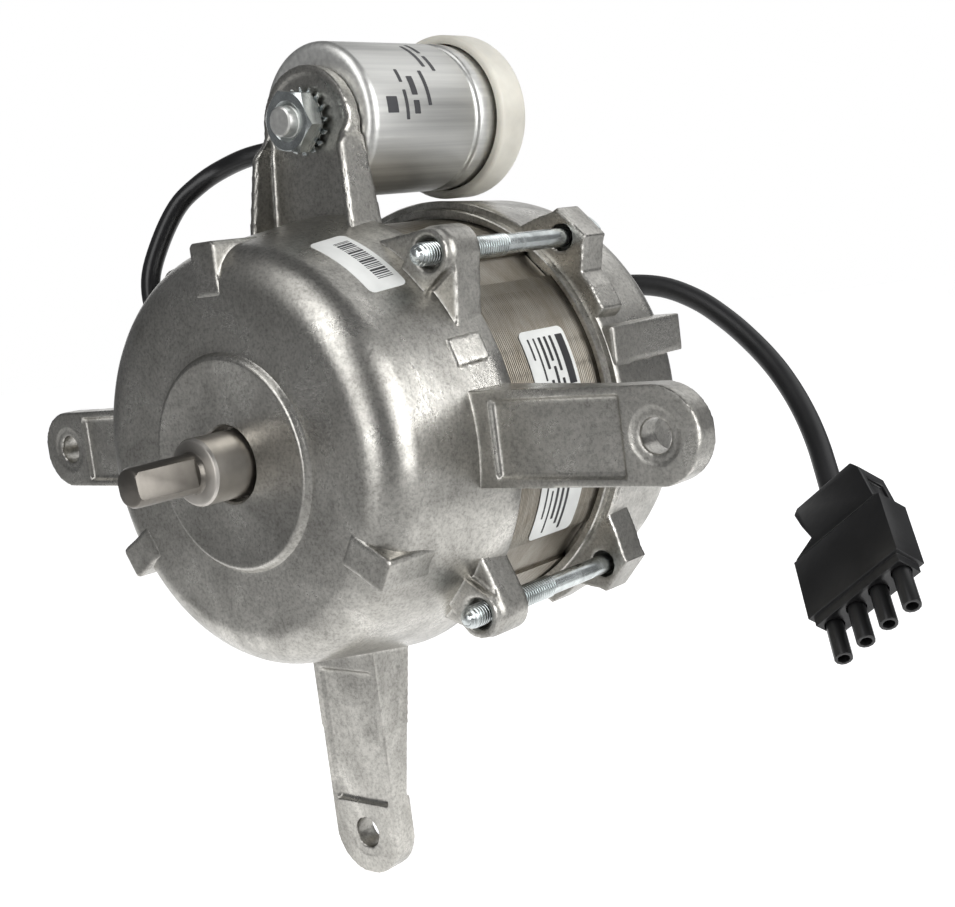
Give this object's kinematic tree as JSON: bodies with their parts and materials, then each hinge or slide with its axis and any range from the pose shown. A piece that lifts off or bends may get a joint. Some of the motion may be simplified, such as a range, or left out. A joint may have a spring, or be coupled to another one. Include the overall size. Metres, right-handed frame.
{
  "type": "oil burner blower motor",
  "caption": "Capacitor-run induction motor with a three-armed cast front shield, a shaft with two flats, a run capacitor on a bracket and a supply cable with a flat plug.",
  "frame": {"origin": "on the shaft's axis, in the plane of the three arm pads that meet the burner's flange", "axes": "-Y along the shaft, out of the front; +Z towards the capacitor; +X along the arm beside the rating label"},
  "size_m": [0.2048, 0.2052, 0.1946],
  "materials": {
    "cast_aluminium": "rough die-cast, slightly mottled",
    "ground_steel": "fine ground",
    "zinc_plate": "bright zinc plate",
    "lamination_steel": "dark, edges of stacked sheets",
    "enamelled_copper": "enamelled wire",
    "drawn_aluminium": "bright drawn",
    "cream_plastic": "cream, satin",
    "black_plastic": "black, satin",
    "black_cable": "black PVC",
    "white_label": "white film",
    "tinned_brass": "tinned",
    "bearing_retainer": "moulded nylon"
  },
  "bodies": {
    "housing": {"front_shield": "cast_aluminium", "rear_shield": "cast_aluminium", "stator_core": "lamination_steel", "stator_winding": "enamelled_copper", "wave_washer": "ground_steel", "capacitor_can": "drawn_aluminium", "capacitor_end_cap": "cream_plastic", "capacitor_lock_washer": "zinc_plate", "capacitor_nut": "zinc_plate", "rating_label": "white_label", "barcode_sticker": "white_label", "capacitor_lead": "black_cable", "lead_grommet": "black_plastic", "cable_gland": "black_plastic", "supply_cable": "black_cable", "plug_housing": "black_plastic", "plug_clamp": "black_plastic", "front_bearing_outer_ring": "ground_steel", "rear_bearing_outer_ring": "ground_steel", "through_bolt_1": "zinc_plate", "plug_contact_1": "tinned_brass", "through_bolt_2": "zinc_plate", "plug_contact_2": "tinned_brass", "through_bolt_3": "zinc_plate", "plug_contact_3": "tinned_brass", "through_bolt_4": "zinc_plate", "plug_contact_4": "tinned_brass"},
    "rotor": {"shaft": "ground_steel", "rotor_core": "lamination_steel", "rotor_cage": "drawn_aluminium", "front_bearing_inner_ring": "ground_steel", "rear_bearing_inner_ring": "ground_steel"},
    "front_ball_set": {"front_bearing_retainer": "bearing_retainer", "front_bearing_ball_1": "ground_steel", "front_bearing_ball_2": "ground_steel", "front_bearing_ball_3": "ground_steel", "front_bearing_ball_4": "ground_steel", "front_bearing_ball_5": "ground_steel", "front_bearing_ball_6": "ground_steel", "front_bearing_ball_7": "ground_steel"},
    "rear_ball_set": {"rear_bearing_retainer": "bearing_retainer", "rear_bearing_ball_1": "ground_steel", "rear_bearing_ball_2": "ground_steel", "rear_bearing_ball_3": "ground_steel", "rear_bearing_ball_4": "ground_steel", "rear_bearing_ball_5": "ground_steel", "rear_bearing_ball_6": "ground_steel", "rear_bearing_ball_7": "ground_steel"}
  },
  "joints": [
    {"name": "rotor_spin", "type": "hinge", "parent": "housing", "child": "rotor", "pos_m": [0, 0, 0], "axis": [0, 1, 0], "continuous": true},
    {"name": "front_balls_spin", "type": "hinge", "parent": "housing", "child": "front_ball_set", "pos_m": [0, -0.0153, 0], "axis": [0, 1, 0], "continuous": true},
    {"name": "rear_balls_spin", "type": "hinge", "parent": "housing", "child": "rear_ball_set", "pos_m": [0, 0.0674, 0], "axis": [0, 1, 0], "continuous": true}
  ],
  "couplings": [
    {"joint": "front_balls_spin", "follows": "rotor_spin", "ratio": 0.38},
    {"joint": "rear_balls_spin", "follows": "rotor_spin", "ratio": 0.38}
  ]
}
